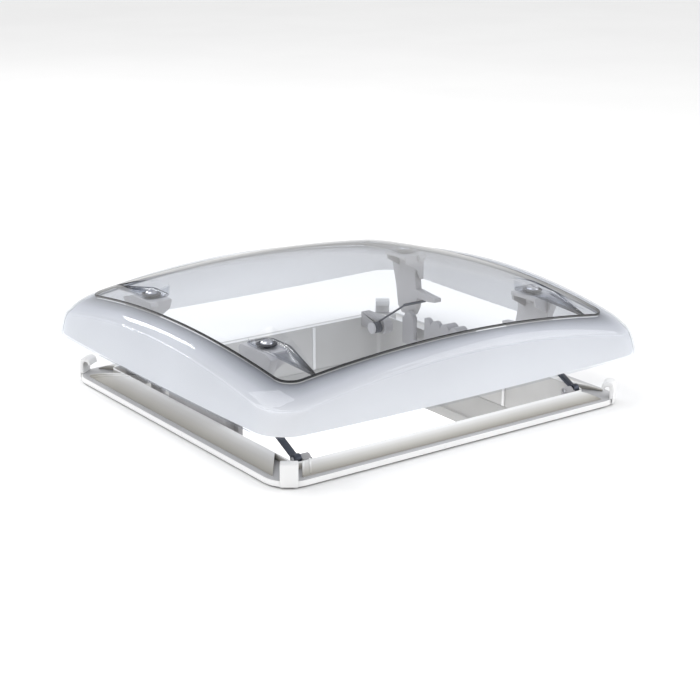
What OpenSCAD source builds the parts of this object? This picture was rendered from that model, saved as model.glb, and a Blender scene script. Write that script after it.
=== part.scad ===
// Roof vent with a raised clear dome, for a square cut-out in a caravan roof.
// Origin: centre of the opening at the underside of the ceiling trim. Z is up.

/* [Roof frame] */
// Half length of the roof flange along X
flange_x = 230; // [226:1:236]
// Half width of the roof flange along Y
flange_y = 219; // [216:1:224]
// Corner radius of the roof flange
flange_r = 31; // [24:1:36]
// Thickness of the roof flange
flange_t = 6; // [4:0.5:7]
// Height of the rounded upstand's top above the flange's underside
upstand_h = 13; // [12:0.5:14]
// Half width of the opening inside the throat along X
throat_x = 193; // [192.5:0.5:193.5]
// Half width of the opening inside the throat along Y
throat_y = 188; // [187.5:0.5:188.5]
// Wall thickness of the throat
throat_t = 4; // [3:0.5:4]

/* [Inner frame] */
// Depth from the flange's underside to the ceiling trim's underside
deck_z = 87; // [80:1:95]
// Height of the inner frame's sleeve
sleeve_h = 43; // [38:1:46]
// Half length of the ceiling trim along X
trim_x = 225; // [222:1:232]
// Half width of the ceiling trim along Y
trim_y = 216; // [214:1:222]

/* [Dome] */
// Half length of the skirt's lower edge along X
skirt_x = 248; // [244:1:250]
// Half width of the skirt's lower edge along Y
skirt_y = 234; // [232:0.5:236]
// Half length of the clear top panel along X
panel_x = 212; // [208:1:214]
// Half width of the clear top panel along Y
panel_y = 202; // [199:1:204]
// Height of the skirt's lower edge above the flange's underside, dome raised
raised_z = 58; // [57:1:60]
// Height of the crown's middle above the flange's underside, dome raised
crown_z = 152; // [148:1:156]
// Thickness of the acrylic
skin_t = 3; // [2.5:0.5:3]

/* [Fixings] */
// Distance of the dome screws from the middle along X
screw_x = 178; // [177:1:179]
// Distance of the dome screws from the middle along Y
screw_y = 117; // [116:1:118]
// Height of the recess floor above the flange's underside
recess_z = 114; // [113.5:0.5:114.5]

/* [Hidden] */
eps = 0.1;

// Roof frame
upstand_x = flange_x - 8;
upstand_y = flange_y - 7.5;
upstand_top = deck_z + upstand_h;
// Rounded section of the upstand: share of the way in from its foot, share of its rise
upstand_curve = [[0, 0.3], [0.05, 0.5], [0.16, 0.7], [0.34, 0.86], [0.6, 0.96], [1, 1]];
gasket_t = 1.5;
gasket_inset = 3;
groove_depth = 2;
// Plan of the pocket that leaves room for a corner clip
pocket_plan = [[240, 216.8], [193, 152], [183.4, 188], [210, 226.6], [240, 226.6]];
clip_angle = 54.5;
clip_w = 18;
throat_rib_x = [-90, 0, 90];
throat_rib_y = [-58, 0, 58];
throat_rib_proud = 1.9;

// Inner frame
sleeve_out = [198, 198, 10];
sleeve_in = [192, 187, 6];
trim_in = [189, 184, 6];
trim_t = 5;
trim_lip_h = 12;
trim_screw = [212, 203];
trim_hole_r = 2.25;

// Side rails: a plate with half-round teeth along its top
rail_x0 = 176.5;
rail_x1 = 182.3;
rail_low = 82;
tooth_z = deck_z + 28.5;
tooth_r = 8.8;
tooth_count = [-3, 6];
rail_y = [-66, 118];
rail_web_low = 88;
slot_y = [74, 96];
slot_low = 90;
rail_web_y = 58.75;
rail_screw_y = 47;
rail_screw_z = 94;
rail_screw_r = 2;
rail_hole_r = rail_screw_r + 0.1;
rail_head_r = 4;
rail_head_t = 2.2;

// The channel behind each rail plate, where the arms and straps run
arm_x0 = 183.2;
arm_x1 = 192.2;

// Rear springs: a coil on a pin with a long leg that bears under the rear arm
spring_y = 146;
spring_z = 98;
coil_r = 5.6;
wire_r = 1.5;
leg_r = 1.75;
coil_x = 152.7;
coil_turns = 3;
leg_tip = [92, 139];
spring_pin_r = 3.9;
spring_pin_x = 151;
spring_cap_r = 7;
spring_cap_t = 2.5;
spring_bracket_x = [164, 176];
spring_bracket_r = 10;
leg_dy = leg_tip[0] - spring_y;
leg_dz = leg_tip[1] - spring_z;
leg_reach = sqrt(leg_dy * leg_dy + leg_dz * leg_dz);
leg_len = sqrt(leg_reach * leg_reach - coil_r * coil_r);
leg_turn = atan2(leg_dz, leg_dy) - acos(coil_r / leg_reach);

// Front straps: flat levers on a pin, bearing under the front arms
strap_y = -181;
strap_z = 100.5;
strap_len = 97;
strap_rise = 26;
strap_t = 2.5;
strap_tip_r = 1.6;
strap_x0 = 183.4;
strap_x1 = 190.9;
strap_eye_r = 5;
strap_pin_r = 2.2;
strap_pin_x = [173, 191.6];
strap_bracket_x = [172, 182.6];
running_gap = 0.05;

// Arms
arm_top = deck_z + recess_z - skin_t - eps;
arm_plate_t = 4;
head_x = 164;
head_half = 20;
head_rib_t = 3;
head_boss = [6.5, 10];
screw_bore_r = 3.05;

// Dome screws and washers
screw_r = 3;
screw_len = 15;
screw_head_r = 8;
screw_cap_r = 7.5;
screw_cap_ball_r = 13.1;
washer_r = 11;
washer_t = 1.6;
washer_bore_r = 3.2;
dome_hole_r = 3.3;

// Dome rows: half length, half width, corner radius, corner height, rise at mid side, bow
z0 = deck_z;
skirt_rows = [
    [skirt_x, skirt_y, 36, raised_z, -3, 0.7],
    [skirt_x - 0.8, skirt_y - 0.6, 37, raised_z + 6, 6, 1],
    [skirt_x - 2.2, skirt_y - 1.4, 40, raised_z + 13, 18, 1.5],
    [skirt_x - 4, skirt_y - 2.5, 43, raised_z + 18, 27, 2],
    [skirt_x - 7.5, skirt_y - 6, 42, raised_z + 21.5, 28.5, 2.2],
    [skirt_x - 16, skirt_y - 13, 36, raised_z + 30, 26, 2.5],
    [skirt_x - 26, skirt_y - 23, 28, raised_z + 37, 21.5, 2.8],
    [panel_x, panel_y, 20, raised_z + 42.5, 16.7, 3]
];
last_row = len(skirt_rows) - 1;
panel_steps = [0.86, 0.7, 0.52, 0.34, 0.16];
arc_steps = 10;
side_steps = 12;
liner_gap = 0.3;
liner_t = 2;

// Points round one quarter of a rounded rectangle: its corner arc, then one side
function quarter(hx, hy, r, q) =
    let (
        cx = (q == 0 || q == 3) ? hx - r : r - hx,
        cy = (q == 0 || q == 1) ? hy - r : r - hy,
        along = (q % 2 == 0) ? [r - hx - (hx - r), 0] : [0, r - hy - (hy - r)],
        way = (q == 0 || q == 1) ? 1 : -1,
        a1 = 90 * (q + 1),
        last = [cx + r * cos(a1), cy + r * sin(a1)]
    )
    concat(
        [for (i = [0:arc_steps]) [cx + r * cos(90 * q + 90 * i / arc_steps),
                                  cy + r * sin(90 * q + 90 * i / arc_steps)]],
        [for (i = [1:side_steps - 1]) last + along * way * i / side_steps]
    );
function outline(hx, hy, r) = [for (q = [0:3]) each quarter(hx, hy, r, q)];

// One ring of the dome, with its sides raised and bowed outward between the corners
function ring(row, inset = 0, drop = 0) =
    let (hx = row[0] - inset, hy = row[1] - inset, r = row[2] - inset)
    [for (p = outline(hx, hy, r))
        let (u = abs(p[0]) / hx, v = abs(p[1]) / hy, k = 1 - u * u * v * v)
        [p[0] + (u > v ? sign(p[0]) * row[5] * k : 0),
         p[1] + (v > u ? sign(p[1]) * row[5] * k : 0),
         z0 + row[3] + row[4] * k - drop]];

// A ring of the crowned panel, s = 1 at its edge and 0 at the middle
function crown_ring(s, inset, drop) =
    [for (p = ring(skirt_rows[last_row], inset, drop))
        [p[0] * s, p[1] * s, z0 + crown_z - drop - (z0 + crown_z - drop - p[2]) * s * s]];

count = 4 * (arc_steps + side_steps);
insets = [skin_t, skin_t, 2.9, 2.7, 2.3, 1.8, 1.3, 0.8];
drops = [0, 0, 0.6, 1.2, 1.8, 2.3, 2.7, skin_t];

// A closed skin of stacked rings, with a bottom and a top centre
module stacked(rings, top) {
    n = len(rings);
    points = concat([for (g = rings) each g], [[0, 0, rings[0][0][2]], top]);
    polyhedron(points = points, faces = concat(
        [for (k = [0:n - 2]) for (i = [0:count - 1]) let (j = (i + 1) % count)
            each [[k * count + i, (k + 1) * count + i, (k + 1) * count + j],
                  [k * count + i, (k + 1) * count + j, k * count + j]]],
        [for (i = [0:count - 1]) let (j = (i + 1) % count) [n * count, i, j]],
        [for (i = [0:count - 1]) let (j = (i + 1) % count)
            [n * count + 1, (n - 1) * count + j, (n - 1) * count + i]]));
}

// A closed band whose section is the given loop of rings
module looped(rings) {
    n = len(rings);
    polyhedron(points = [for (g = rings) each g], faces =
        [for (k = [0:n - 1]) for (i = [0:count - 1]) let (j = (i + 1) % count, m = (k + 1) % n)
            each [[k * count + i, m * count + i, m * count + j],
                  [k * count + i, m * count + j, k * count + j]]]);
}

module rounded(hx, hy, r) {
    polygon([for (q = [0:3]) let (cx = (q == 0 || q == 3) ? hx - r : r - hx,
                                  cy = (q == 0 || q == 1) ? hy - r : r - hy)
        for (i = [0:8]) [cx + r * cos(90 * q + 11.25 * i), cy + r * sin(90 * q + 11.25 * i)]]);
}

module frame_ring(outer, inner, low, high) {
    translate([0, 0, low]) linear_extrude(high - low) difference() {
        rounded(outer[0], outer[1], outer[2]);
        rounded(inner[0], inner[1], inner[2]);
    }
}

// A bar of the given section in the YZ plane, from x0 to x1
module along_x(x0, x1) {
    translate([x0, 0, 0]) rotate([90, 0, 90]) linear_extrude(x1 - x0) children();
}

module rod_x(x0, x1, y, z, r) {
    translate([x0, y, z]) rotate([0, 90, 0]) cylinder(h = x1 - x0, r = r, $fn = 48);
}

module left() {
    mirror([1, 0, 0]) children();
}

// ---------- Roof frame ----------
throat_in = [throat_x, throat_y, 6];
throat_out = [throat_x + throat_t, throat_y + throat_t, 10];
groove_out = [throat_out[0] + 8, throat_out[1] + 3, 8];

// A loop of the upstand at share s of the way in from its foot
function upstand_loop(s, z) =
    let (mid_x = throat_x + throat_t / 2, mid_y = throat_y + throat_t / 2)
    [for (p = outline(upstand_x - (upstand_x - mid_x) * s, upstand_y - (upstand_y - mid_y) * s, 22 - 14 * s))
        [p[0], p[1], z]];

module upstand() {
    rise = upstand_h - flange_t;
    low = deck_z + flange_t - 1;
    difference() {
        looped(concat([upstand_loop(0, low)],
                      [for (c = upstand_curve) upstand_loop(c[0], deck_z + flange_t + rise * c[1])],
                      [upstand_loop(1, low)]));
        for (sx = [0, 1]) for (sy = [0, 1])
            mirror([sx, 0, 0]) mirror([0, sy, 0]) translate([0, 0, deck_z + flange_t])
                linear_extrude(upstand_h) polygon(pocket_plan);
    }
}

module roof_frame() {
    color("whitesmoke") difference() {
        union() {
            frame_ring([flange_x, flange_y, flange_r], throat_in, deck_z, deck_z + flange_t);
            frame_ring(throat_out, throat_in, sleeve_h, upstand_top);
            upstand();
            for (s = [0, 1]) {
                mirror([s, 0, 0]) throat_ribs_x();
                mirror([0, s, 0]) throat_ribs_y();
            }
        }
        frame_groove();
        for (s = [0, 1]) mirror([s, 0, 0]) for (y = [-rail_screw_y, rail_screw_y])
            rod_x(throat_x - 3, throat_x + throat_t + 3, y, rail_screw_z, rail_hole_r);
    }
}

// Upright ribs that space the inner frame's sleeve from the throat
module throat_ribs_x() {
    high = 81;
    for (y = throat_rib_y)
        translate([throat_x - throat_rib_proud, y - 2, sleeve_h])
            cube([throat_rib_proud + eps, 4, high - sleeve_h]);
}
module throat_ribs_y() {
    high = 99;
    for (x = throat_rib_x)
        translate([x - 2, throat_y - throat_rib_proud, sleeve_h])
            cube([4, throat_rib_proud + eps, high - sleeve_h]);
}

// The groove under the upstand, between it and the throat
module frame_groove() {
    frame_ring(groove_out, throat_out, deck_z - 1, deck_z + groove_depth);
}

module inner_frame() {
    color("gainsboro") difference() {
        union() {
            frame_ring(sleeve_out, sleeve_in, 0, sleeve_h - eps);
            frame_ring([trim_x, trim_y, 22], trim_in, 0, trim_t);
            frame_ring([trim_in[0] + 5, trim_in[1] + 5, 6], trim_in, 0, trim_lip_h);
        }
        for (sx = [-1, 1]) for (sy = [-1, 1])
            translate([sx * trim_screw[0], sy * trim_screw[1], -1])
                cylinder(h = trim_t + 2, r = trim_hole_r, $fn = 48);
    }
}

module roof_gasket() {
    color("dimgray")
        frame_ring([flange_x - gasket_inset, flange_y - gasket_inset, flange_r - gasket_inset],
                   [throat_out[0] + 4, throat_out[0] + 4, 8], deck_z - gasket_t, deck_z);
}

// A strap that hooks over one corner of the flange
clip_section = [
    [0, 0.5], [1.6, 0.5], [1.6, 19], [0.5, 23.5], [-3, 25], [-8, 25], [-11.5, 22.8], [-12.5, 17],
    [-9.5, 16], [-8, 19.8], [-4.5, 20.3], [-3, 18], [-3, flange_t], [0, flange_t]
];
module corner_clip(sx, sy) {
    dx = sx * cos(clip_angle);
    dy = sy * sin(clip_angle);
    color("white")
        translate([sx * (flange_x - flange_r) + flange_r * dx, sy * (flange_y - flange_r) + flange_r * dy,
                   deck_z])
            rotate([0, 0, atan2(dy, dx)]) translate([0, clip_w / 2, 0]) rotate([90, 0, 0])
                linear_extrude(clip_w) polygon(clip_section);
}
module corner_clip_front_left() { corner_clip(-1, -1); }
module corner_clip_front_right() { corner_clip(1, -1); }
module corner_clip_rear_left() { corner_clip(-1, 1); }
module corner_clip_rear_right() { corner_clip(1, 1); }

// ---------- Side rails ----------
module side_rail() {
    color("silver") difference() {
        union() {
            translate([rail_x0, rail_y[0], rail_low])
                cube([rail_x1 - rail_x0, rail_y[1] - rail_y[0], tooth_z - rail_low]);
            translate([rail_x0, -rail_web_y, rail_web_low])
                cube([throat_x - rail_x0, 2 * rail_web_y, tooth_z - rail_web_low]);
            for (i = [tooth_count[0]:tooth_count[1]])
                rod_x(rail_x0, abs(i) < 3 ? throat_x : rail_x1, i * 2 * tooth_r, tooth_z, tooth_r);
        }
        translate([rail_x0 - 1, slot_y[0], slot_low])
            cube([rail_x1 - rail_x0 + 1.2, slot_y[1] - slot_y[0], 60]);
        for (y = [-rail_screw_y, rail_screw_y])
            rod_x(rail_x0 - 1, throat_x + 1, y, rail_screw_z, rail_hole_r);
    }
}
module side_rail_right() { side_rail(); }
module side_rail_left() { left() side_rail(); }

module rail_screws() {
    color("silver") for (s = [0, 1]) mirror([s, 0, 0]) for (y = [-rail_screw_y, rail_screw_y]) {
        rod_x(rail_x0 - rail_head_t, rail_x0, y, rail_screw_z, rail_head_r);
        rod_x(rail_x0 - eps, throat_x + throat_t, y, rail_screw_z, rail_screw_r);
    }
}

// ---------- Rear springs ----------
module spring_bracket() {
    color("lightgray") difference() {
        union() {
            translate([spring_bracket_x[0], spring_y, spring_z - spring_bracket_r])
                cube([spring_bracket_x[1] - spring_bracket_x[0], throat_y - spring_y,
                      2 * spring_bracket_r]);
            rod_x(spring_bracket_x[0], spring_bracket_x[1], spring_y, spring_z, spring_bracket_r);
        }
        rod_x(spring_bracket_x[0] - 1, spring_bracket_x[1] + 1, spring_y, spring_z, spring_pin_r);
    }
}
module spring_bracket_right() { spring_bracket(); }
module spring_bracket_left() { left() spring_bracket(); }

module spring_pin() {
    color("lightgray") {
        rod_x(spring_pin_x, spring_bracket_x[1], spring_y, spring_z, spring_pin_r);
        rod_x(spring_pin_x - spring_cap_t, spring_pin_x + eps, spring_y, spring_z, spring_cap_r);
    }
}
module spring_pin_right() { spring_pin(); }
module spring_pin_left() { left() spring_pin(); }

// The coil's outline: one ridge for each turn of the wire, round a plain bore
coil_pitch = 2 * wire_r;
coil_section = concat(
    [[coil_r - wire_r, coil_turns * coil_pitch], [coil_r - wire_r, 0]],
    [for (i = [0:coil_turns - 1]) each [
        [coil_r + wire_r - 0.5, i * coil_pitch], [coil_r + wire_r, i * coil_pitch + 0.8],
        [coil_r + wire_r, (i + 1) * coil_pitch - 0.8]]],
    [[coil_r + wire_r - 0.5, coil_turns * coil_pitch]]
);
module rear_spring() {
    leg_x = coil_x + (coil_turns - 0.5) * coil_pitch;
    color("dimgray") difference() {
        union() {
            translate([coil_x, spring_y, spring_z]) rotate([0, 90, 0])
                rotate_extrude($fn = 48) polygon(coil_section);
            translate([leg_x, spring_y + coil_r * cos(leg_turn), spring_z + coil_r * sin(leg_turn)])
                rotate([leg_turn, 0, 0]) cylinder(h = leg_len, r = wire_r - 0.2, $fn = 24);
            rod_x(leg_x - 1.5, arm_x1 - 0.5, leg_tip[0], leg_tip[1], leg_r);
        }
        rod_x(coil_x - 1, coil_x + 12, spring_y, spring_z, coil_r - wire_r);
    }
}
module rear_spring_right() { rear_spring(); }
module rear_spring_left() { left() rear_spring(); }

// ---------- Front straps ----------
module strap_bracket() {
    color("lightgray") difference() {
        union() {
            translate([strap_bracket_x[0], -throat_y, strap_z - 14])
                cube([strap_bracket_x[1] - strap_bracket_x[0], throat_y + strap_y, 14.5]);
            rod_x(strap_bracket_x[0], strap_bracket_x[1], strap_y, strap_z - 1.5, 5);
        }
        rod_x(strap_bracket_x[0] - 1, strap_bracket_x[1] + 1, strap_y, strap_z, strap_pin_r);
    }
}
module strap_bracket_right() { strap_bracket(); }
module strap_bracket_left() { left() strap_bracket(); }

module strap_pin() {
    color("silver") rod_x(strap_pin_x[0], strap_pin_x[1], strap_y, strap_z, strap_pin_r);
}
module strap_pin_right() { strap_pin(); }
module strap_pin_left() { left() strap_pin(); }

module front_strap() {
    color("dimgray") difference() {
        union() {
            rod_x(strap_x0, strap_x1, strap_y, strap_z, strap_eye_r);
            translate([strap_x0, strap_y, strap_z]) rotate([strap_rise, 0, 0])
                translate([0, 0, -strap_t / 2]) cube([strap_x1 - strap_x0, strap_len, strap_t]);
            rod_x(strap_x0, strap_x1, strap_y + strap_len * cos(strap_rise),
                  strap_z + strap_len * sin(strap_rise), strap_tip_r);
        }
        rod_x(strap_x0 - 1, strap_x1 + 1, strap_y, strap_z, strap_pin_r + running_gap);
    }
}
module front_strap_right() { front_strap(); }
module front_strap_left() { left() front_strap(); }

// ---------- Dome arms ----------
// The head of an arm: a plate under the dome's recess, on two side ribs and a back web
module arm_head() {
    difference() {
        union() {
            translate([head_x, screw_y - head_half, arm_top - arm_plate_t])
                cube([arm_x1 - head_x, 2 * head_half, arm_plate_t]);
            for (y = [screw_y - head_half + head_rib_t, screw_y + head_half])
                translate([0, y, 0]) rotate([90, 0, 0]) linear_extrude(head_rib_t) polygon([
                    [head_x, arm_top - eps], [arm_x1, arm_top - eps], [arm_x1, arm_top - 32],
                    [187.7, arm_top - 32], [183, arm_top - 20], [head_x + 2, arm_top - 10]
                ]);
            translate([screw_x, screw_y, arm_top - head_boss[1]])
                cylinder(h = head_boss[1] - eps, r = head_boss[0], $fn = 48);
        }
        translate([screw_x, screw_y, arm_top - head_boss[1] - 2])
            cylinder(h = 2 * head_boss[1], r = screw_bore_r, $fn = 48);
    }
}

module arm_front() {
    color("silver") mirror([0, 1, 0]) {
        arm_head();
        along_x(arm_x0, arm_x1) polygon([
            [62, 147.5], [62, 151.5], [84, 153], [88, 172], [86, arm_top - 4], [90, arm_top],
            [137, arm_top], [146, arm_top - 4], [144, arm_top - 8], [136, 172], [130, 145.6], [80, 145.6]
        ]);
    }
}
module arm_front_right() { arm_front(); }
module arm_front_left() { left() arm_front(); }

module arm_rear() {
    color("silver") {
        arm_head();
        along_x(arm_x0, arm_x1) polygon([
            [62, 144.5], [62, 149], [100, 153], [103, 172], [98, 187], [92, arm_top - 4],
            [95, arm_top], [137, arm_top], [157, arm_top - 6], [148, 178], [140, 150],
            [136, 126], [128, 118], [108, 118], [102, 128], [98, 142.4], [76, 142.4]
        ]);
    }
}
module arm_rear_right() { arm_rear(); }
module arm_rear_left() { left() arm_rear(); }

// ---------- Dome ----------
// The pocket moulded round each dome screw: a flat floor, then a slope drawn out to a point
recess_half = [14, 18];
tip_fall = 9;
module recess(grow) {
    low = z0 + recess_z - grow;
    far_y = screw_y + 2 + recess_half[1] + grow;
    for (sx = [-1, 1]) for (sy = [-1, 1]) translate([sx * screw_x, 0, low]) {
        translate([0, sy * (screw_y + 2), 20])
            cube([2 * (recess_half[0] + grow), 2 * (recess_half[1] + grow), 40], center = true);
        hull() {
            translate([0, sy * (far_y - 0.5), 20])
                cube([2 * (recess_half[0] + grow), 1, 40], center = true);
            translate([0, sy * (panel_y - 9 + grow), 20 - tip_fall])
                cube([1.5 + 2 * grow, 1, 40], center = true);
        }
    }
}

module dome_solid(inner) {
    stacked(concat(
        inner ? [ring([for (k = [0:5]) skirt_rows[0][k] - (k == 3 ? 1 : 0)], skin_t, 0)] : [],
        [for (k = [0:last_row]) ring(skirt_rows[k], inner ? insets[k] : 0, inner ? drops[k] : 0)],
        [for (s = panel_steps) crown_ring(s, inner ? insets[last_row] : 0, inner ? skin_t : 0)]
    ), [0, 0, z0 + crown_z - (inner ? skin_t : 0)]);
}

module dome_shell() {
    color("lightblue", 0.4) difference() {
        difference() {
            dome_solid(false);
            recess(0);
        }
        difference() {
            dome_solid(true);
            recess(skin_t);
        }
        for (sx = [-1, 1]) for (sy = [-1, 1])
            translate([sx * screw_x, sy * screw_y, z0 + recess_z - 10])
                cylinder(h = 20, r = dome_hole_r, $fn = 32);
    }
}

// Rings of a skin laid under the dome shell, from the skirt's edge to the seam
function under(k, depth) = ring(skirt_rows[k], insets[k] + depth * insets[k] / skin_t,
                                drops[k] + depth * drops[k] / skin_t + (k == 0 ? -1 : liner_gap));
module frosted_liner() {
    color("lavender", 0.8)
        looped(concat([for (k = [0:last_row]) under(k, liner_gap)],
                      [for (k = [last_row:-1:0]) under(k, liner_gap + liner_t)]));
}

// A ring set in from the seam that follows its rise
function seam_ring(inset, drop) = ring(skirt_rows[last_row], inset, drop);

module seam_strip() {
    color("black") looped([
        seam_ring(1.6, skin_t + 0.4), seam_ring(1.6, skin_t + 2.4),
        seam_ring(4.2, skin_t + 2.2), seam_ring(4.2, skin_t + 0.2)
    ]);
}

module dome_screws() {
    color("silver") for (sx = [-1, 1]) for (sy = [-1, 1])
        translate([sx * screw_x, sy * screw_y, z0 + recess_z + washer_t]) {
            translate([0, 0, -screw_len]) cylinder(h = screw_len, r = screw_r, $fn = 48);
            cylinder(h = 1.5, r = screw_head_r, $fn = 48);
            intersection() {
                translate([0, 0, -9]) sphere(r = screw_cap_ball_r, $fn = 64);
                translate([0, 0, 1.4]) cylinder(h = 5, r = screw_cap_r, $fn = 48);
            }
        }
}

module screw_washers() {
    color("darkslategray") for (sx = [-1, 1]) for (sy = [-1, 1])
        translate([sx * screw_x, sy * screw_y, z0 + recess_z]) difference() {
            cylinder(h = washer_t, r = washer_r, $fn = 48);
            translate([0, 0, -1]) cylinder(h = 4, r = washer_bore_r, $fn = 48);
        }
}

roof_frame();
inner_frame();
roof_gasket();
corner_clip_front_left();
corner_clip_front_right();
corner_clip_rear_left();
corner_clip_rear_right();
side_rail_left();
side_rail_right();
rail_screws();
spring_bracket_left();
spring_bracket_right();
spring_pin_left();
spring_pin_right();
rear_spring_left();
rear_spring_right();
strap_bracket_left();
strap_bracket_right();
strap_pin_left();
strap_pin_right();
front_strap_left();
front_strap_right();
arm_front_left();
arm_front_right();
arm_rear_left();
arm_rear_right();
dome_shell();
frosted_liner();
seam_strip();
dome_screws();
screw_washers();
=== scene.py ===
"""Looks of a roof vent with a raised clear dome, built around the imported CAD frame."""

import math

import bmesh
import bpy
from mathutils import Matrix, Vector


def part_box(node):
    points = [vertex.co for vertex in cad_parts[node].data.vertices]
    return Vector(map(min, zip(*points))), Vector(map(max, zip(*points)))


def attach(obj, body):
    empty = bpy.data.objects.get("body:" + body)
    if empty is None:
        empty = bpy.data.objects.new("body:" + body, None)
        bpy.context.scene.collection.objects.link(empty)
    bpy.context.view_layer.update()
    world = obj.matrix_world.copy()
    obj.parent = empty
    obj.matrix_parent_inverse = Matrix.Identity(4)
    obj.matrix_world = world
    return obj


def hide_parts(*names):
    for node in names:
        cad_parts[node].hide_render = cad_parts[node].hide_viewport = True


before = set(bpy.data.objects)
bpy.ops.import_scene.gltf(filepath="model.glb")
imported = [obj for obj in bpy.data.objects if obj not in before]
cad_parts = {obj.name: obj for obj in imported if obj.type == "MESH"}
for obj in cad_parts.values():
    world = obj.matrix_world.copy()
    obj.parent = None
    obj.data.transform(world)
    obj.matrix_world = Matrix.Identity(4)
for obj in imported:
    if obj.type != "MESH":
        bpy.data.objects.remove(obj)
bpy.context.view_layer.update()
MM = 0.001

# ---------------------------------------------------------------- places read from the frame
shell_low, shell_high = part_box("dome_shell")
gasket_low, gasket_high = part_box("roof_gasket")
SKIRT_BOW, SKIRT_SAG = 0.7 * MM, 3 * MM      # of the skirt's lower edge, at the middle of a side
SKIRT_X, SKIRT_Y = shell_high.x - SKIRT_BOW, shell_high.y - SKIRT_BOW
SKIRT_Z, CROWN_Z = shell_low.z + SKIRT_SAG, shell_high.z
DECK_Z = gasket_high.z
ROOF_Z = gasket_low.z
washer_low, washer_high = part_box("screw_washers")
WASHER_R = 11 * MM
SCREW_X, SCREW_Y = washer_high.x - WASHER_R, washer_high.y - WASHER_R
RECESS_Z = washer_low.z


# ---------------------------------------------------------------- small helpers
def link_new(name, data):
    """An object with the given mesh, light or camera, in the scene."""
    obj = bpy.data.objects.new(name, data)
    bpy.context.scene.collection.objects.link(obj)
    return obj


def mesh_object(name, verts, faces):
    mesh = bpy.data.meshes.new(name)
    mesh.from_pydata([tuple(v) for v in verts], [], faces)
    mesh.update()
    return link_new(name, mesh)


def new_object(name, verts, faces, body, replaces=(), material=None, smooth=40):
    obj = mesh_object(name, verts, faces)
    obj.data.validate()
    return dress(obj, body, replaces, material, smooth)


def dress(obj, body, replaces=(), material=None, smooth=40):
    if material:
        obj.data.materials.clear()
        obj.data.materials.append(material)
    if smooth:
        smooth_by_angle(obj.data, smooth)
    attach(obj, body)
    if replaces:
        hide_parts(*replaces)
    return obj


def smooth_by_angle(mesh, degrees):
    mesh.polygons.foreach_set("use_smooth", [True] * len(mesh.polygons))
    mesh.set_sharp_from_angle(angle=math.radians(degrees))


def apply_modifiers(obj):
    bpy.context.view_layer.update()
    graph = bpy.context.evaluated_depsgraph_get()
    mesh = bpy.data.meshes.new_from_object(obj.evaluated_get(graph))
    old = obj.data
    obj.modifiers.clear()
    obj.data = mesh
    bpy.data.meshes.remove(old)
    return obj


def cut_away(obj, cutters):
    """Take each cutter's shape out of an object, then drop the cutters."""
    for cutter in cutters:
        cut = obj.modifiers.new("cut", "BOOLEAN")
        cut.operation, cut.solver, cut.object = "DIFFERENCE", "EXACT", cutter
    apply_modifiers(obj)
    for cutter in cutters:
        bpy.data.objects.remove(cutter)


# ---------------------------------------------------------------- materials
class Nodes:
    """A material's node tree, with short calls for the nodes that repeat."""

    def __init__(self, name):
        self.material = bpy.data.materials.new(name)
        self.material.use_nodes = True
        self.tree = self.material.node_tree
        self.tree.nodes.clear()
        self.out = self.add("ShaderNodeOutputMaterial")
        self.coords = self.add("ShaderNodeTexCoord").outputs["Object"]

    def add(self, kind, **values):
        node = self.tree.nodes.new(kind)
        for key, value in values.items():
            setattr(node, key, value)
        return node

    def link(self, source, target):
        self.tree.links.new(source, target)

    def noise(self, scale, detail=4.0, rough=0.6, stretch=None):
        node = self.add("ShaderNodeTexNoise")
        node.inputs["Scale"].default_value = scale
        node.inputs["Detail"].default_value = detail
        node.inputs["Roughness"].default_value = rough
        source = self.coords
        if stretch:
            mapping = self.add("ShaderNodeMapping")
            mapping.inputs["Scale"].default_value = stretch
            self.link(self.coords, mapping.inputs["Vector"])
            source = mapping.outputs["Vector"]
        self.link(source, node.inputs["Vector"])
        return node.outputs["Fac"]

    def ramp(self, fac, stops):
        node = self.add("ShaderNodeValToRGB")
        element = node.color_ramp.elements
        while len(element) < len(stops):
            element.new(0.5)
        for e, (place, colour) in zip(element, stops):
            e.position = place
            e.color = (*colour, 1)
        self.link(fac, node.inputs["Fac"])
        return node.outputs["Color"]

    def range(self, value, low, high, to_low, to_high):
        node = self.add("ShaderNodeMapRange")
        for key, number in (("From Min", low), ("From Max", high), ("To Min", to_low), ("To Max", to_high)):
            node.inputs[key].default_value = number
        self.link(value, node.inputs["Value"])
        return node.outputs["Result"]

    def bump(self, height, strength, distance):
        node = self.add("ShaderNodeBump")
        node.inputs["Strength"].default_value = strength
        node.inputs["Distance"].default_value = distance
        self.link(height, node.inputs["Height"])
        return node.outputs["Normal"]

    def principled(self, **values):
        node = self.add("ShaderNodeBsdfPrincipled")
        for key, value in values.items():
            node.inputs[key.replace("_", " ")].default_value = value
        return node

    def multiply(self, first, second):
        """The product of two colours."""
        blend = self.add("ShaderNodeMix", data_type="RGBA", blend_type="MULTIPLY")
        blend.inputs[0].default_value = 1
        self.link(first, blend.inputs[6])
        self.link(second, blend.inputs[7])
        return blend.outputs[2]

    def finish(self, shader):
        self.link(shader, self.out.inputs["Surface"])
        return self.material


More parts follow.
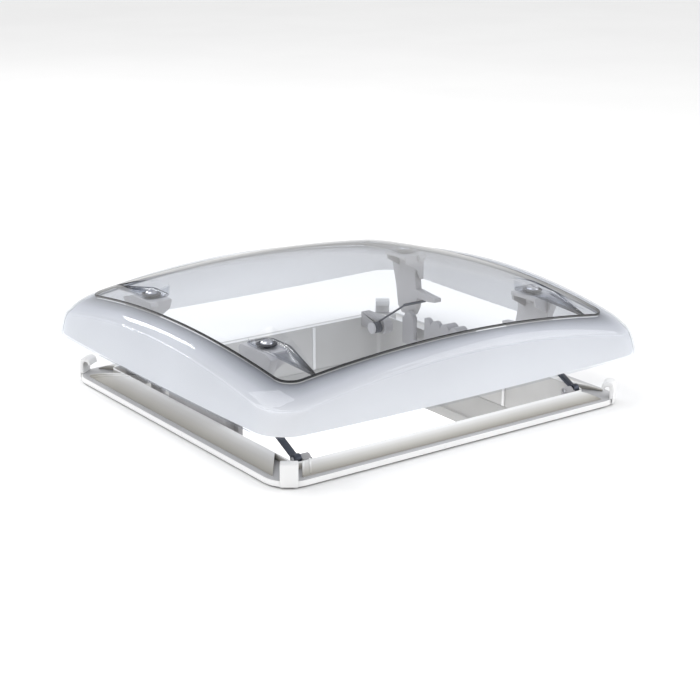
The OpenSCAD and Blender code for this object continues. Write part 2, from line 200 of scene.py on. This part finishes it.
def moulded(name, light, dark, roughness, grain=900.0, bump=0.08, coat=0.0, corner_shade=None, specular=0.5):
    """Moulded plastic: slow colour drift, a fine spark-eroded grain and uneven gloss.

    Its corner tone is painted shade, laid into its corners and creases by ambient occlusion."""
    n = Nodes(name)
    shader = n.principled(IOR=1.5, Coat_Weight=coat, Coat_Roughness=0.15, Specular_IOR_Level=specular)
    colour = n.ramp(n.noise(14, 3), [(0.3, dark), (0.7, light)])
    if corner_shade:
        # painted shade: ambient occlusion darkens the colour in corners and creases
        corner = n.add("ShaderNodeAmbientOcclusion", samples=8, only_local=True)
        corner.inputs["Distance"].default_value = 0.022
        blend = n.add("ShaderNodeMix", data_type="RGBA", blend_type="MULTIPLY")
        n.link(n.range(corner.outputs["AO"], 0.35, 0.95, 1, 0), blend.inputs[0])
        n.link(colour, blend.inputs[6])
        blend.inputs[7].default_value = (*corner_shade, 1)
        colour = blend.outputs[2]
    n.link(colour, shader.inputs["Base Color"])
    n.link(n.range(n.noise(60, 4), 0.3, 0.7, roughness - 0.05, roughness + 0.07), shader.inputs["Roughness"])
    n.link(n.bump(n.noise(grain, 2), bump, 0.0002), shader.inputs["Normal"])
    return n.finish(shader.outputs["BSDF"])


def metal(name, light, dark, roughness, stretch=(1, 60, 60), bump=0.05):
    """Drawn or plated metal with fine lines along its length."""
    n = Nodes(name)
    shader = n.principled(Metallic=1.0)
    lines = n.noise(40, 5, 0.65, stretch)
    n.link(n.ramp(lines, [(0.3, dark), (0.7, light)]), shader.inputs["Base Color"])
    n.link(n.range(lines, 0.3, 0.7, roughness - 0.06, roughness + 0.08), shader.inputs["Roughness"])
    n.link(n.bump(lines, bump, 0.0001), shader.inputs["Normal"])
    return n.finish(shader.outputs["BSDF"])


def clear_acrylic(name, tint, mirror_ior=1.45, pocket=False):
    """Clear sheet: it tints what is behind it, more so aslant, and mirrors at a glance.

    A pocket's walls carry painted shade: darker on its steep faces, and at its far end drawn out to a point."""
    n = Nodes(name)
    through = n.add("ShaderNodeBsdfTransparent")
    aslant = n.add("ShaderNodeLayerWeight").outputs["Facing"]
    edge = n.ramp(aslant, [(0.0, (1, 1, 1)), (0.80, (0.95, 0.96, 0.975)), (0.91, (0.66, 0.68, 0.72)),
                           (1.0, (0.16, 0.17, 0.20))])
    body = n.ramp(n.noise(5, 2), [(0.3, [c * 0.985 for c in tint]), (0.7, tint)])
    if pocket:
        body = pocket_shade(n, body)
    n.link(n.multiply(body, edge), through.inputs["Color"])
    mirror = n.add("ShaderNodeBsdfGlossy")
    mirror.inputs["Roughness"].default_value = 0.03
    wave = n.bump(n.noise(9, 2), 0.04, 0.004)
    n.link(wave, mirror.inputs["Normal"])
    fresnel = n.add("ShaderNodeFresnel")
    fresnel.inputs["IOR"].default_value = mirror_ior
    n.link(wave, fresnel.inputs["Normal"])
    front = n.add("ShaderNodeMath", operation="SUBTRACT")
    front.inputs[0].default_value = 1
    n.link(n.add("ShaderNodeNewGeometry").outputs["Backfacing"], front.inputs[1])
    share = n.add("ShaderNodeMath", operation="MULTIPLY")
    n.link(fresnel.outputs["Fac"], share.inputs[0])
    n.link(front.outputs[0], share.inputs[1])
    mix = n.add("ShaderNodeMixShader")
    n.link(share.outputs[0], mix.inputs[0])
    n.link(through.outputs["BSDF"], mix.inputs[1])
    n.link(mirror.outputs["BSDF"], mix.inputs[2])
    return n.finish(mix.outputs["Shader"])


def pocket_shade(n, colour):
    """Painted shade: darken a colour on steep faces, and with the distance from the screw along Y."""
    normal = n.add("ShaderNodeSeparateXYZ")
    n.link(n.add("ShaderNodeNewGeometry").outputs["True Normal"], normal.inputs[0])
    place = n.add("ShaderNodeSeparateXYZ")
    n.link(n.coords, place.inputs[0])
    steep = n.add("ShaderNodeMath", operation="ABSOLUTE")
    n.link(normal.outputs["Z"], steep.inputs[0])
    away = n.add("ShaderNodeMath", operation="ABSOLUTE")
    n.link(place.outputs["Y"], away.inputs[0])
    shades = (n.ramp(steep.outputs[0], [(0.2, (0.30, 0.31, 0.34)), (0.9, (1, 1, 1))]),
              n.ramp(n.range(away.outputs[0], SCREW_Y + 0.014, SCREW_Y + 0.075, 0, 1),
                     [(0.0, (1, 1, 1)), (0.5, (0.62, 0.64, 0.68)), (1.0, (0.12, 0.13, 0.15))]))
    for shade in shades:
        colour = n.multiply(colour, shade)
    return colour


def frosted_acrylic(name):
    """Milky skin, with painted shade: darker and bluer near the seam."""
    n = Nodes(name)
    fade = n.add("ShaderNodeAttribute")
    fade.attribute_name = "skirt_fade"
    drift = n.noise(6, 3)
    tone = n.add("ShaderNodeMath", operation="MULTIPLY_ADD")
    n.link(drift, tone.inputs[0])
    tone.inputs[1].default_value = 0.14
    n.link(fade.outputs["Fac"], tone.inputs[2])
    # painted shade: the ramp darkens the skin towards the seam, where skirt_fade is low
    colour = n.ramp(tone.outputs[0], [
        (0.05, (0.20, 0.21, 0.24)), (0.16, (0.42, 0.43, 0.46)), (0.32, (0.70, 0.705, 0.73)),
        (0.55, (0.89, 0.89, 0.90)), (0.95, (0.97, 0.97, 0.97)),
    ])
    shader = n.principled(IOR=1.49, Coat_Weight=0.12, Coat_Roughness=0.2)
    n.link(colour, shader.inputs["Base Color"])
    n.link(n.range(n.noise(400, 3), 0.3, 0.7, 0.42, 0.55), shader.inputs["Roughness"])
    n.link(n.bump(n.noise(1500, 2), 0.04, 0.0001), shader.inputs["Normal"])
    glow = n.add("ShaderNodeBsdfTranslucent")
    n.link(colour, glow.inputs["Color"])
    mix = n.add("ShaderNodeMixShader")
    mix.inputs[0].default_value = 0.4
    n.link(shader.outputs["BSDF"], mix.inputs[1])
    n.link(glow.outputs["BSDF"], mix.inputs[2])
    clear = n.add("ShaderNodeBsdfTransparent")
    clear.inputs["Color"].default_value = (0.97, 0.975, 0.985, 1)
    haze = n.add("ShaderNodeMixShader")
    n.link(n.range(fade.outputs["Fac"], 0, 1, 0.84, 0.92), haze.inputs[0])
    n.link(clear.outputs["BSDF"], haze.inputs[1])
    n.link(mix.outputs["Shader"], haze.inputs[2])
    return n.finish(haze.outputs["Shader"])


def cove_painted_shade(name):
    """The white moulding where it rises off the flange, with painted shade: grey on the flange top, darkest
    along the upstand's foot, lighter towards its top edge.
    """
    n = Nodes(name)
    height = n.add("ShaderNodeSeparateXYZ")
    n.link(n.coords, height.inputs[0])
    low = DECK_Z + 6 * MM
    lift = n.range(height.outputs["Z"], low, low + 7 * MM, 0, 1)
    waver = n.add("ShaderNodeMath", operation="MULTIPLY_ADD")
    n.link(n.noise(30, 3), waver.inputs[0])
    waver.inputs[1].default_value = 0.04
    n.link(lift, waver.inputs[2])
    # painted shade by height: grey flange top, darkest just above the upstand's foot, light at its top edge
    colour = n.ramp(waver.outputs[0], [
        (0.0, (0.42, 0.42, 0.43)), (0.055, (0.40, 0.40, 0.41)), (0.13, (0.27, 0.255, 0.225)),
        (0.46, (0.42, 0.405, 0.37)), (0.76, (0.57, 0.56, 0.535)), (0.94, (0.73, 0.725, 0.71)),
        (1.0, (0.86, 0.86, 0.855)),
    ])
    shader = n.principled(IOR=1.5, Coat_Weight=0.1, Coat_Roughness=0.2)
    n.link(colour, shader.inputs["Base Color"])
    n.link(n.range(n.noise(60, 4), 0.3, 0.7, 0.32, 0.44), shader.inputs["Roughness"])
    n.link(n.bump(n.noise(900, 2), 0.05, 0.0002), shader.inputs["Normal"])
    return n.finish(shader.outputs["BSDF"])


COVE_SHADE = cove_painted_shade("white_asa_upstand_painted_shade")
# the white and arm plastics carry painted shade in their corners
WHITE = moulded("white_asa", (0.84, 0.84, 0.84), (0.80, 0.80, 0.80), 0.32, bump=0.05, coat=0.15,
                corner_shade=(0.62, 0.60, 0.56))
# the throat is the same white moulding; its darker beige tone is painted shade inside the opening
THROAT_SHADE = moulded("throat_painted_shade", (0.54, 0.535, 0.525), (0.49, 0.485, 0.475), 0.5)
TRIM = moulded("trim_grey", (0.46, 0.455, 0.445), (0.42, 0.415, 0.405), 0.5)
GREY = moulded("bracket_grey", (0.38, 0.375, 0.385), (0.33, 0.325, 0.335), 0.42)
ARM = moulded("arm_grey", (0.50, 0.49, 0.49), (0.44, 0.43, 0.435), 0.42, corner_shade=(0.62, 0.61, 0.6))
PALE = moulded("pin_pale", (0.52, 0.52, 0.54), (0.46, 0.46, 0.48), 0.35)
FOAM = moulded("gasket_foam", (0.07, 0.07, 0.075), (0.04, 0.04, 0.045), 0.9, grain=500, bump=0.4)
BOND = moulded("bond_black", (0.012, 0.013, 0.016), (0.006, 0.006, 0.008), 0.6, specular=0.08)
ZINC = metal("zinc_steel", (0.62, 0.63, 0.66), (0.5, 0.51, 0.54), 0.3)
SPRING = metal("spring_steel", (0.09, 0.10, 0.125), (0.05, 0.055, 0.07), 0.38)
CHROME = metal("screw_chrome", (0.42, 0.43, 0.47), (0.30, 0.31, 0.35), 0.16, stretch=(1, 1, 12))
WASHER = moulded("washer_dark", (0.03, 0.032, 0.04), (0.018, 0.019, 0.024), 0.4, specular=0.3)
CLEAR = clear_acrylic("clear_acrylic", (0.95, 0.955, 0.965))
POCKET = clear_acrylic("clear_acrylic_pocket", (0.93, 0.935, 0.95), pocket=True)
FROST = frosted_acrylic("frosted_acrylic")

# ---------------------------------------------------------------- dome rows, as in the CAD model
# inset along X, inset along Y, corner radius, height, rise at mid side, bow outward (mm)
ROWS = [
    (0, 0, 36, 0, -3, 0.7),
    (0.8, 0.6, 37, 6, 6, 1),
    (2.2, 1.4, 40, 13, 18, 1.5),
    (4, 2.5, 43, 18, 27, 2),
    (6.2, 4.6, 42.5, 19.6, 27.6, 2.05),
    (9, 7.2, 41.5, 23.2, 28.2, 2.2),
    (16, 13, 36, 30, 26, 2.5),
    (26, 23, 28, 37, 21.5, 2.8),
    (36, 32, 20, 42.5, 16.7, 3),
]
SEAM_ROW = len(ROWS) - 1
ARC, SIDE = 24, 40
AROUND = 4 * (ARC + SIDE)


def quarter(hx, hy, r, q):
    """One corner arc of a rounded rectangle, and the side after it."""
    cx = (hx - r) * (1 if q in (0, 3) else -1)
    cy = (hy - r) * (1 if q in (0, 1) else -1)
    points = []
    for i in range(ARC + 1):
        a = math.radians(90 * (q + i / ARC))
        points.append((cx + r * math.cos(a), cy + r * math.sin(a)))
    length = 2 * ((hx - r) if q % 2 == 0 else (hy - r))
    way = [(-1, 0), (0, -1), (1, 0), (0, 1)][q]
    ex, ey = points[-1]
    for i in range(1, SIDE):
        points.append((ex + way[0] * length * i / SIDE, ey + way[1] * length * i / SIDE))
    return points


def dome_ring(row, inset=0.0, drop=0.0):
    """One ring of the dome at a row number, which may lie between two rows."""
    low = min(int(row), SEAM_ROW - 1)
    t = row - low
    pick = [ROWS[max(0, low - 1)], ROWS[low], ROWS[low + 1], ROWS[min(SEAM_ROW, low + 2)]]

    def spline(k):
        p0, p1, p2, p3 = (p[k] for p in pick)
        return 0.5 * (2 * p1 + (p2 - p0) * t + (2 * p0 - 5 * p1 + 4 * p2 - p3) * t * t
                      + (3 * p1 - p0 - 3 * p2 + p3) * t ** 3)

    hx = SKIRT_X - (spline(0) + inset) * MM
    hy = SKIRT_Y - (spline(1) + inset) * MM
    r = (spline(2) - inset) * MM
    ring = []
    for q in range(4):
        for x, y in quarter(hx, hy, r, q):
            u, v = abs(x) / hx, abs(y) / hy
            k = 1 - (u * v) ** 2
            bow = spline(5) * k * MM
            x += math.copysign(bow, x) if u > v else 0
            y += math.copysign(bow, y) if v > u else 0
            ring.append(Vector((x, y, SKIRT_Z + (spline(3) + spline(4) * k - drop) * MM)))
    return ring


def crown_ring(s, inset=0.0, drop=0.0):
    top = CROWN_Z - drop * MM
    return [Vector((p.x * s, p.y * s, top - (top - p.z) * s * s)) for p in dome_ring(SEAM_ROW, inset, drop)]


def ring_faces(count, rings, closed=False):
    faces = []
    for k in range(rings if closed else rings - 1):
        for i in range(count):
            j, m = (i + 1) % count, (k + 1) % rings
            faces.append((k * count + i, k * count + j, m * count + j, m * count + i))
    return faces


# ---------------------------------------------------------------- clear dome shell
CROWN_STEPS = [1 - k / 22 for k in range(1, 22)]
SKIN_LOOK = 1.9 * MM      # thinner than the CAD skin, so that it stays clear of the liner


def dome_solid():
    rings = [dome_ring(k / 4) for k in range(4 * SEAM_ROW + 1)]
    rings += [crown_ring(s) for s in CROWN_STEPS]
    verts = [p for ring in rings for p in ring]
    faces = ring_faces(AROUND, len(rings))
    top = len(verts)
    verts.append(Vector((0, 0, CROWN_Z)))
    last = (len(rings) - 1) * AROUND
    faces += [(last + i, last + (i + 1) % AROUND, top) for i in range(AROUND)]
    faces.append(tuple(reversed(range(AROUND))))
    return verts, faces


def recess_outline(grow, steps=8):
    """Outline of a screw pocket: a rounded square drawn out to a point along +Y."""
    half, back = (14 + grow) * MM, -(16 + grow) * MM
    tip, r = (84 + grow) * MM, 6 * MM
    right = [(half - r + r * math.sin(a), back + r - r * math.cos(a))
             for a in (math.radians(90 * i / steps) for i in range(steps + 1))]
    right += [(half, (16 + grow) * MM), (half - 0.6 * MM, (22 + grow) * MM), (0.8 * MM, tip)]
    return right + [(-x, y) for x, y in reversed(right)]


def recess_cutter(sx, sy):
    """Solid that sinks a pocket into the crown, with a flat floor and a filleted foot."""
    levels = [(-2.2, 0.0), (-1.2, 0.25), (-0.5, 0.8), (0.0, 1.8), (1.2, 14), (2.4, 40)]
    rings = []
    for grow, rise in levels:
        ring = []
        for x, y in recess_outline(grow):
            fall = -max(0.0, y - 20 * MM) * 0.15
            ring.append(Vector((sx * (SCREW_X + x), sy * (SCREW_Y + y), RECESS_Z + fall + rise * MM)))
        rings.append(ring)
    verts = [p for ring in rings for p in ring]
    count = len(rings[0])
    faces = ring_faces(count, len(levels))
    faces.append(tuple(reversed(range(count))))
    faces.append(tuple(range((len(levels) - 1) * count, len(levels) * count)))
    if sx * sy < 0:
        faces = [tuple(reversed(f)) for f in faces]
    return verts, faces


def build_dome_shell():
    shell = mesh_object("dome_clear_skin", *dome_solid())
    cut_away(shell, [mesh_object("cutter", *recess_cutter(sx, sy)) for sx in (-1, 1) for sy in (-1, 1)])
    work = bmesh.new()
    work.from_mesh(shell.data)
    bottom = [f for f in work.faces if len(f.verts) > 100 and f.normal.z < -0.9]
    bmesh.ops.delete(work, geom=bottom, context="FACES_ONLY")
    bmesh.ops.remove_doubles(work, verts=work.verts, dist=0.00005)
    work.to_mesh(shell.data)
    work.free()
    thick = shell.modifiers.new("thickness", "SOLIDIFY")
    thick.thickness, thick.offset, thick.use_rim = SKIN_LOOK, -1, True
    apply_modifiers(shell)
    shell.data.materials.append(CLEAR)
    shell.data.materials.append(POCKET)
    for face in shell.data.polygons:
        face.material_index = int(in_pocket(face.center))
    return dress(shell, "dome", ["dome_shell"], None, 35)


def crown_height(x, y):
    """Height of the crown's outer face over a point of the panel."""
    inset_x, inset_y, _, corner_rise, side_rise, _ = ROWS[SEAM_ROW]
    panel_x, panel_y = SKIRT_X - inset_x * MM, SKIRT_Y - inset_y * MM
    s = max(abs(x) / panel_x, abs(y) / panel_y)
    k = 1 - (abs(x * y) / (panel_x * panel_y) / max(s * s, 1e-6)) ** 2
    rim = SKIRT_Z + (corner_rise + side_rise * k) * MM
    return CROWN_Z - (CROWN_Z - rim) * s * s


def in_pocket(p):
    """True on the floor and the low walls of a screw pocket, well below the crown's own skin."""
    beside = abs(abs(p.x) - SCREW_X) < 17 * MM and -19 * MM < abs(p.y) - SCREW_Y < 86 * MM
    return beside and p.z < min(crown_height(p.x, p.y) - 4.2 * MM, RECESS_Z + 2 * MM)


# ---------------------------------------------------------------- frosted liner under the skirt
def build_liner():
    steps = [k / 3 for k in range(3 * SEAM_ROW + 1)]
    outer, inner = [], []
    for k in steps:
        share = k / SEAM_ROW
        inset, drop = 3.2 - 2.3 * share, (0.2 + 3.3 * share if k else -1)
        outer.append(dome_ring(k, inset, drop))
        inner.append(dome_ring(k, inset + 2 - 1.4 * share, drop + 1.8 * share))
    rings = outer + inner[::-1]
    verts = [p for ring in rings for p in ring]
    liner = new_object("frosted_skin", verts, ring_faces(AROUND, len(rings), closed=True),
                       "dome", ["frosted_liner"], FROST, 60)
    fade = liner.data.attributes.new("skirt_fade", "FLOAT", "POINT")
    shares = [1 - k / SEAM_ROW for k in steps]
    fade.data.foreach_set("value", [s for s in shares + shares[::-1] for _ in range(AROUND)])
    return liner


def build_seam():
    """Black bond line, set in the clear skin over the liner's top."""
    corners = [(0.1, -0.22), (0.8, -0.3), (1.6, -0.22), (2.0, 2.0), (-0.1, 2.0)]
    verts = [p for inset, drop in corners for p in dome_ring(SEAM_ROW, inset, drop)]
    return new_object("seam_line", verts, ring_faces(AROUND, len(corners), closed=True),
                      "dome", ["seam_strip"], BOND, 50)


# ---------------------------------------------------------------- roof frame with a rounded upstand
def loop(hx, hy, r, z, steps=10):
    """A rounded rectangle at a height of z mm above the deck."""
    points = []
    for q in range(4):
        cx, cy = (hx - r) * (1 if q in (0, 3) else -1), (hy - r) * (1 if q in (0, 1) else -1)
        for i in range(steps + 1):
            a = math.radians(90 * (q + i / steps))
            x, y = cx + r * math.cos(a), cy + r * math.sin(a)
            points.append(Vector((x * MM, y * MM, DECK_Z + z * MM)))
    return points


FLANGE_T, UPSTAND_H = 6, 13
FLANGE = (230, 219, 31)         # half length, half width, corner radius
THROAT_IN = (193, 188, 6)
THROAT_OUT = (197, 192, 10)
THROAT_LOW = -44


def upstand_rise(s):
    """Height of the rounded upstand at share s of the way in from its foot."""
    return FLANGE_T + (UPSTAND_H - FLANGE_T) * (0.16 + 0.84 * (1 - (1 - s) ** 2))


def frame_section():
    """Loops round the frame: the flange's edge, its top, the rounded upstand, then the throat."""
    section = [(229.4, 218.4, 30.4, 0), (*FLANGE, 0.6), (*FLANGE, 5.2), (229.7, 218.7, 30.7, 5.8),
               (229.1, 218.1, 30.1, FLANGE_T), (222.3, 211.8, 23.3, FLANGE_T)]
    for i in range(13):
        s = i / 12
        section.append((222 - 28.4 * s, 211.5 - 22.9 * s, 23 - 16.4 * s, upstand_rise(s)))
    return section + [(*THROAT_IN, UPSTAND_H - 0.6), (*THROAT_IN, THROAT_LOW),
                      (*THROAT_OUT, THROAT_LOW), (*THROAT_OUT, 0)]


POCKET_PLAN = [(260, 244.4), (194.6, 154.2), (196.2, 180), (193.6, 187), (188, 192.5), (185.2, 190.6),
               (217.4, 237.3), (260, 260)]


def pocket_cutter(sx, sy):
    """Prism that clears the upstand where a corner clip sits."""
    plan = POCKET_PLAN if sx * sy < 0 else POCKET_PLAN[::-1]
    count = len(plan)
    verts = [(sx * x * MM, sy * y * MM, DECK_Z + z * MM) for z in (FLANGE_T + 0.05, 30) for x, y in plan]
    faces = [(i, (i + 1) % count, count + (i + 1) % count, count + i) for i in range(count)]
    return verts, faces + [tuple(reversed(range(count))), tuple(range(count, 2 * count))]


def build_roof_frame():
    rings = [loop(*row) for row in frame_section()]
    verts = [p for ring in rings for p in ring]
    moulding = mesh_object("frame_moulding", verts, ring_faces(len(rings[0]), len(rings), closed=True))
    cut_away(moulding, [mesh_object("pocket", *pocket_cutter(sx, sy)) for sx in (-1, 1) for sy in (-1, 1)])
    dress(moulding, "base", ["roof_frame"], WHITE, 28)
    moulding.data.materials.append(COVE_SHADE)
    moulding.data.materials.append(THROAT_SHADE)
    for face in moulding.data.polygons:
        x, y, z = face.center
        outside = abs(x) > 193.4 * MM or abs(y) > 188.4 * MM
        # faces above the flange top take the upstand's painted shade; the throat faces take the throat's
        # painted shade
        face.material_index = int(z > DECK_Z + (FLANGE_T - 0.1) * MM) if outside else 2
    build_frame_ribs()


def bar(name, low, high, material, body="base", bevel=0.5):
    """A small rounded bar between two corners, in mm above the deck."""
    work = bmesh.new()
    bmesh.ops.create_cube(work, size=1)
    size = [abs(h - l) * MM for l, h in zip(low, high)]
    middle = Vector([(l + h) / 2 * MM for l, h in zip(low, high)]) + Vector((0, 0, DECK_Z))
    work.transform(Matrix.Translation(middle) @ Matrix.Diagonal((*size, 1)))
    bmesh.ops.bevel(work, geom=list(work.edges), offset=bevel * MM, segments=2, profile=0.5, affect="EDGES")
    mesh = bpy.data.meshes.new(name)
    work.to_mesh(mesh)
    work.free()
    return dress(link_new(name, mesh), body, (), material, 35)


def build_frame_ribs():
    """Upright ribs inside the throat, and low ribs across the upstand beside each corner pocket."""
    for sx in (-1, 1):
        for y in (-58, 0, 58):
            bar(f"throat_rib_x{sx}_{y}", (sx * 193.1, y - 2, -43), (sx * 191.1, y + 2, -6),
                WHITE)
    for sy in (-1, 1):
        for x in (-90, 0, 90):
            bar(f"throat_rib_y{sy}_{x}", (x - 2, sy * 188.1, -43), (x + 2, sy * 186.1, 12),
                WHITE)
        for sx in (-1, 1):
            foot, top = ((190, 210.6), (176, 189)) if sx * sy > 0 else ((221, 183), (194.2, 145))
            low_rib(f"upstand_rib_{sx}_{sy}", sx, sy, foot, top)
            foot, top = ((198.6, 210.6), (185.2, 191.2)) if sx * sy > 0 else ((221, 191.2), (195.4, 155.8))
            low_rib(f"pocket_rib_{sx}_{sy}", sx, sy, foot, top)


def low_rib(name, sx, sy, foot, top, steps=8):
    """A rounded rib that climbs the upstand from its foot to its inner edge."""
    way = Vector((top[0] - foot[0], top[1] - foot[1], 0)).normalized()
    side = Vector((-way.y, way.x, 0)) * 1.1
    rings = []
    for i in range(steps + 1):
        s = i / steps
        mid = Vector((foot[0] + (top[0] - foot[0]) * s, foot[1] + (top[1] - foot[1]) * s, upstand_rise(s)))
        ring = []
        for across, up in ((-1, -1), (-1, 0.5), (-0.5, 1.1), (0.5, 1.1), (1, 0.5), (1, -1)):
            p = mid + side * across + Vector((0, 0, up))
            ring.append(Vector((sx * p.x * MM, sy * p.y * MM, DECK_Z + p.z * MM)))
        rings.append(ring if sx * sy > 0 else ring[::-1])
    count = len(rings[0])
    faces = ring_faces(count, len(rings))
    faces += [tuple(reversed(range(count))), tuple(range(steps * count, (steps + 1) * count))]
    verts = [p for ring in rings for p in ring]
    new_object(name, verts, [f[::-1] for f in faces], "base", (), COVE_SHADE, 35)


# ---------------------------------------------------------------- dome screws and washers
def lathe(name, profile, places, body, replaces, material, steps=40):
    """A turned shape, repeated at each place; the profile is radius and height in mm."""
    verts, faces = [], []
    for place in places:
        start = len(verts)
        for r, z in profile:
            for i in range(steps):
                a = 2 * math.pi * i / steps
                verts.append(place + Vector((r * math.cos(a), r * math.sin(a), z)) * MM)
        for k in range(len(profile) - 1):
            for i in range(steps):
                j = (i + 1) % steps
                a, b = start + k * steps, start + (k + 1) * steps
                faces.append((a + i, a + j, b + j, b + i))
        faces.append(tuple(start + steps - 1 - i for i in range(steps)))
        last = start + (len(profile) - 1) * steps
        faces.append(tuple(last + i for i in range(steps)))
    return new_object(name, verts, faces, body, replaces, material, 40)


def build_screws():
    places = [Vector((sx * SCREW_X, sy * SCREW_Y, RECESS_Z)) for sx in (-1, 1) for sy in (-1, 1)]
    washer = [(3.3, 0.0), (10.6, 0.0), (11, 0.4), (11, 1.0), (10.5, 1.5), (9.6, 1.75), (8.2, 1.6),
              (7.6, 1.2), (3.3, 1.2)]
    lathe("washers", washer, places, "dome", ["screw_washers"], WASHER)
    cap = [(3, -13), (3, 1.3), (6.9, 1.3), (7.1, 1.7), (6.9, 2.3), (6.4, 2.9), (5.6, 3.6), (4.4, 4.3),
           (3.0, 4.8), (2.4, 4.85), (2.1, 4.4), (2.0, 3.2), (0.2, 3.1)]
    lathe("screws", cap, places, "dome", ["dome_screws"], CHROME)


# ---------------------------------------------------------------- CAD nodes kept, with edges broken
def keep(node, material, bevel=0.6, smooth=35):
    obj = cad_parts[node]
    obj.data.materials.clear()
    obj.data.materials.append(material)
    weld = obj.modifiers.new("weld", "WELD")
    weld.merge_threshold = 0.02 * MM
    if bevel:
        edge = obj.modifiers.new("edges", "BEVEL")
        edge.width, edge.segments, edge.limit_method = bevel * MM, 2, "ANGLE"
        edge.angle_limit = math.radians(35)
    smooth_by_angle(obj.data, smooth)
    return obj


SIDES = ("left", "right")
build_dome_shell()
build_liner()
build_seam()
build_screws()
build_roof_frame()
keep("inner_frame", TRIM, 0.8)
keep("roof_gasket", FOAM, 0.3)
for end in ("front", "rear"):
    for side in SIDES:
        keep(f"corner_clip_{end}_{side}", WHITE, 0.8)
        keep(f"arm_{end}_{side}", ARM, 0.8)
for side in SIDES:
    keep(f"side_rail_{side}", GREY, 0.7)
    keep(f"spring_bracket_{side}", GREY, 0.8)
    keep(f"strap_bracket_{side}", GREY, 0.8)
    keep(f"spring_pin_{side}", PALE, 0.6)
    keep(f"rear_spring_{side}", SPRING, 0.2)
    keep(f"front_strap_{side}", SPRING, 0.3)
    keep(f"strap_pin_{side}", ZINC, 0.3)
keep("rail_screws", ZINC, 0.3)


# ---------------------------------------------------------------- stage, light and camera
def pale(name, glow):
    """Matt near-white sheet; glow stands for the bright room below the cut-out."""
    n = Nodes(name)
    shader = n.principled(Roughness=0.9)
    tone = n.ramp(n.noise(3, 2), [(0.3, (0.80, 0.80, 0.80)), (0.7, (0.82, 0.82, 0.82))])
    n.link(tone, shader.inputs["Base Color"])
    n.link(tone, shader.inputs["Emission Color"])
    shader.inputs["Emission Strength"].default_value = glow
    return n.finish(shader.outputs["BSDF"])


def build_stage():
    """A pale roof with the cut-out, and a pale room floor below it."""
    far, cut = 6.0, 0.2
    points = [(size * sx, size * sy) for size in (far, cut) for sx, sy in ((1, 1), (-1, 1), (-1, -1), (1, -1))]
    verts = [(x, y, ROOF_Z - 0.2 * MM) for x, y in points]
    faces = [(0, 1, 5, 4), (1, 2, 6, 5), (2, 3, 7, 6), (3, 0, 4, 7)]
    low = [(far * sx, far * sy, -0.06) for sx, sy in ((-1, -1), (1, -1), (1, 1), (-1, 1))]
    for name, v, f, glow in (("roof_top", verts, faces, 0), ("room_floor", low, [(0, 1, 2, 3)], 0.85)):
        obj = mesh_object(name, v, f)
        obj.data.materials.append(pale(name + "_paint", glow))


def area_light(name, place, target, size, power, depth=None):
    data = bpy.data.lights.new(name, "AREA")
    data.energy, data.size = power, size
    if depth:
        data.shape, data.size_y = "RECTANGLE", depth
    obj = link_new(name, data)
    obj.location = place
    obj.rotation_euler = (Vector(target) - Vector(place)).to_track_quat("-Z", "Y").to_euler()


def build_light():
    world = bpy.data.worlds.new("studio")
    world.use_nodes = True
    world.node_tree.nodes["Background"].inputs["Color"].default_value = (1, 1, 1, 1)
    world.node_tree.nodes["Background"].inputs["Strength"].default_value = 1.0
    bpy.context.scene.world = world
    middle = (0, 0, 0.15)
    area_light("key", (-0.9, 0.3, 2.2), middle, 1.6, 24)
    area_light("fill", (1.8, -1.4, 1.4), middle, 1.6, 20)
    area_light("window", (-0.5, 2.35, 1.75), (-0.24, 0.15, 0.2), 0.4, 14, depth=0.9)


def build_camera():
    azimuth, elevation, distance = math.radians(-35.69), math.radians(18.63), 1.88192
    aim = Vector((0, 0, DECK_Z))
    back = Vector((math.sin(azimuth) * math.cos(elevation), -math.cos(azimuth) * math.cos(elevation),
                   math.sin(elevation)))
    data = bpy.data.cameras.new("camera")
    data.sensor_width, data.lens = 36, 84.914
    data.shift_x, data.shift_y = 0.01033, 0.05553
    data.clip_start, data.clip_end = 0.01, 100
    camera = link_new("camera", data)
    camera.location = aim + back * distance
    camera.rotation_euler = (-back).to_track_quat("-Z", "Y").to_euler()
    bpy.context.scene.camera = camera


build_stage()
build_light()
build_camera()
bpy.context.scene.view_settings.view_transform = "Standard"
bpy.context.scene.cycles.transparent_max_bounces = 24
